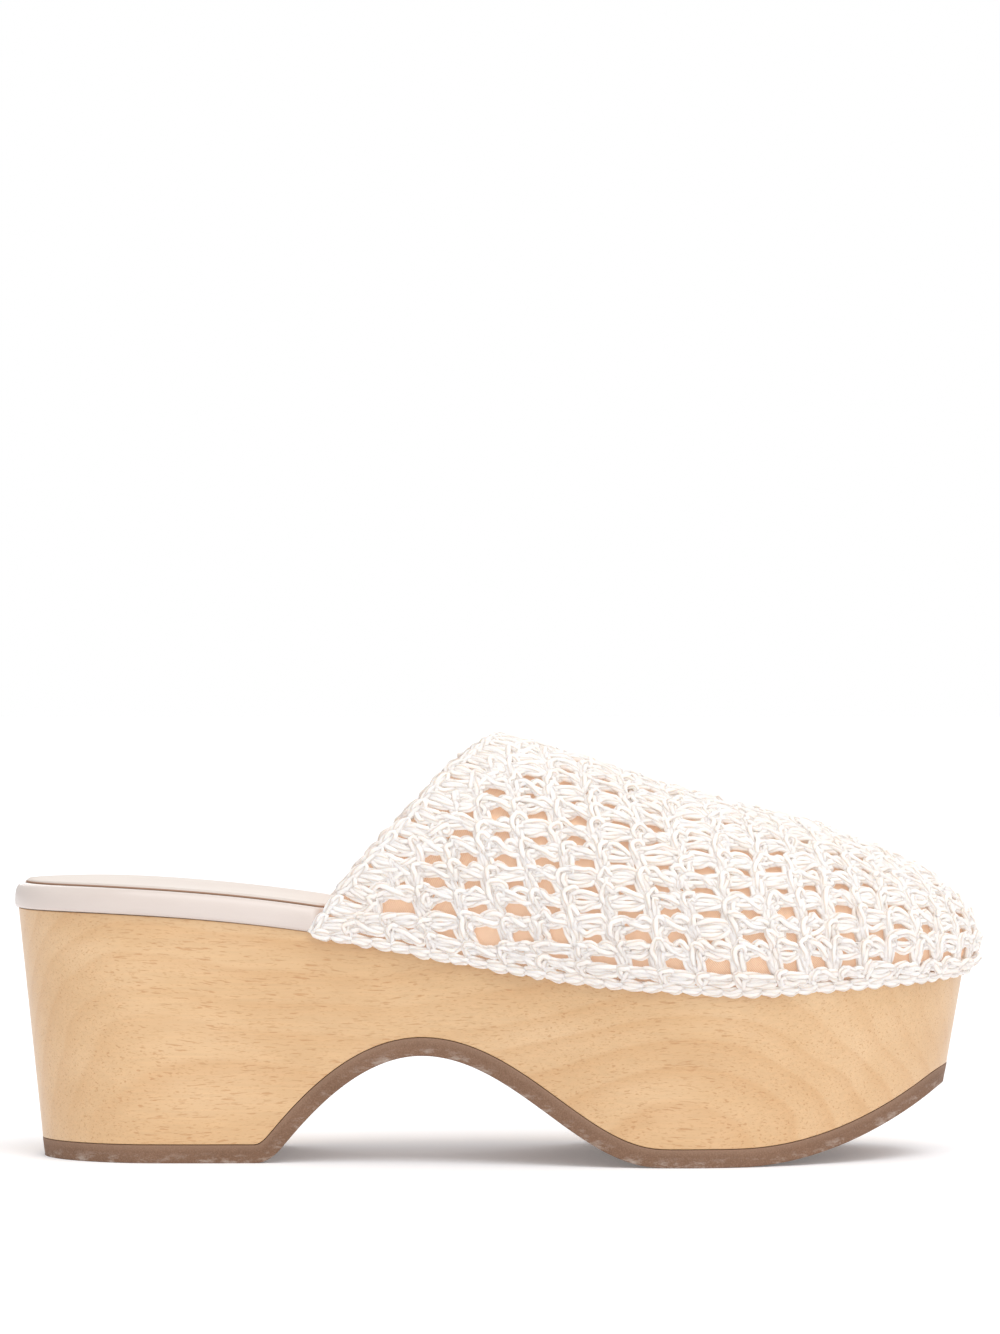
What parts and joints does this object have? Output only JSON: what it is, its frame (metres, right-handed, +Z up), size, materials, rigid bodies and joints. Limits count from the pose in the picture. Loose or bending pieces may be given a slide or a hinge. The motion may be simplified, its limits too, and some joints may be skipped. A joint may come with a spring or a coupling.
{
  "type": "crochet clog",
  "caption": "Backless platform clog: arched wooden sole with rubber tread, leather footbed and a hollow crochet upper, right shoe.",
  "frame": {"origin": "centre of the shoe's box at floor level", "axes": "+X from heel to toe, +Y to the inner side, +Z up"},
  "size_m": [0.2658, 0.1048, 0.1169],
  "materials": {
    "wood": "satin, pale straight-grained wood",
    "rubber": "matte brown sheet",
    "rim_leather": "smooth, soft sheen",
    "sock_leather": "smooth, matte",
    "crochet": "matte cotton yarn"
  },
  "bodies": {
    "root": {"wood_sole": "wood", "outsole": "rubber", "footbed": "rim_leather", "insole": "sock_leather", "upper": "crochet"}
  },
  "joints": []
}
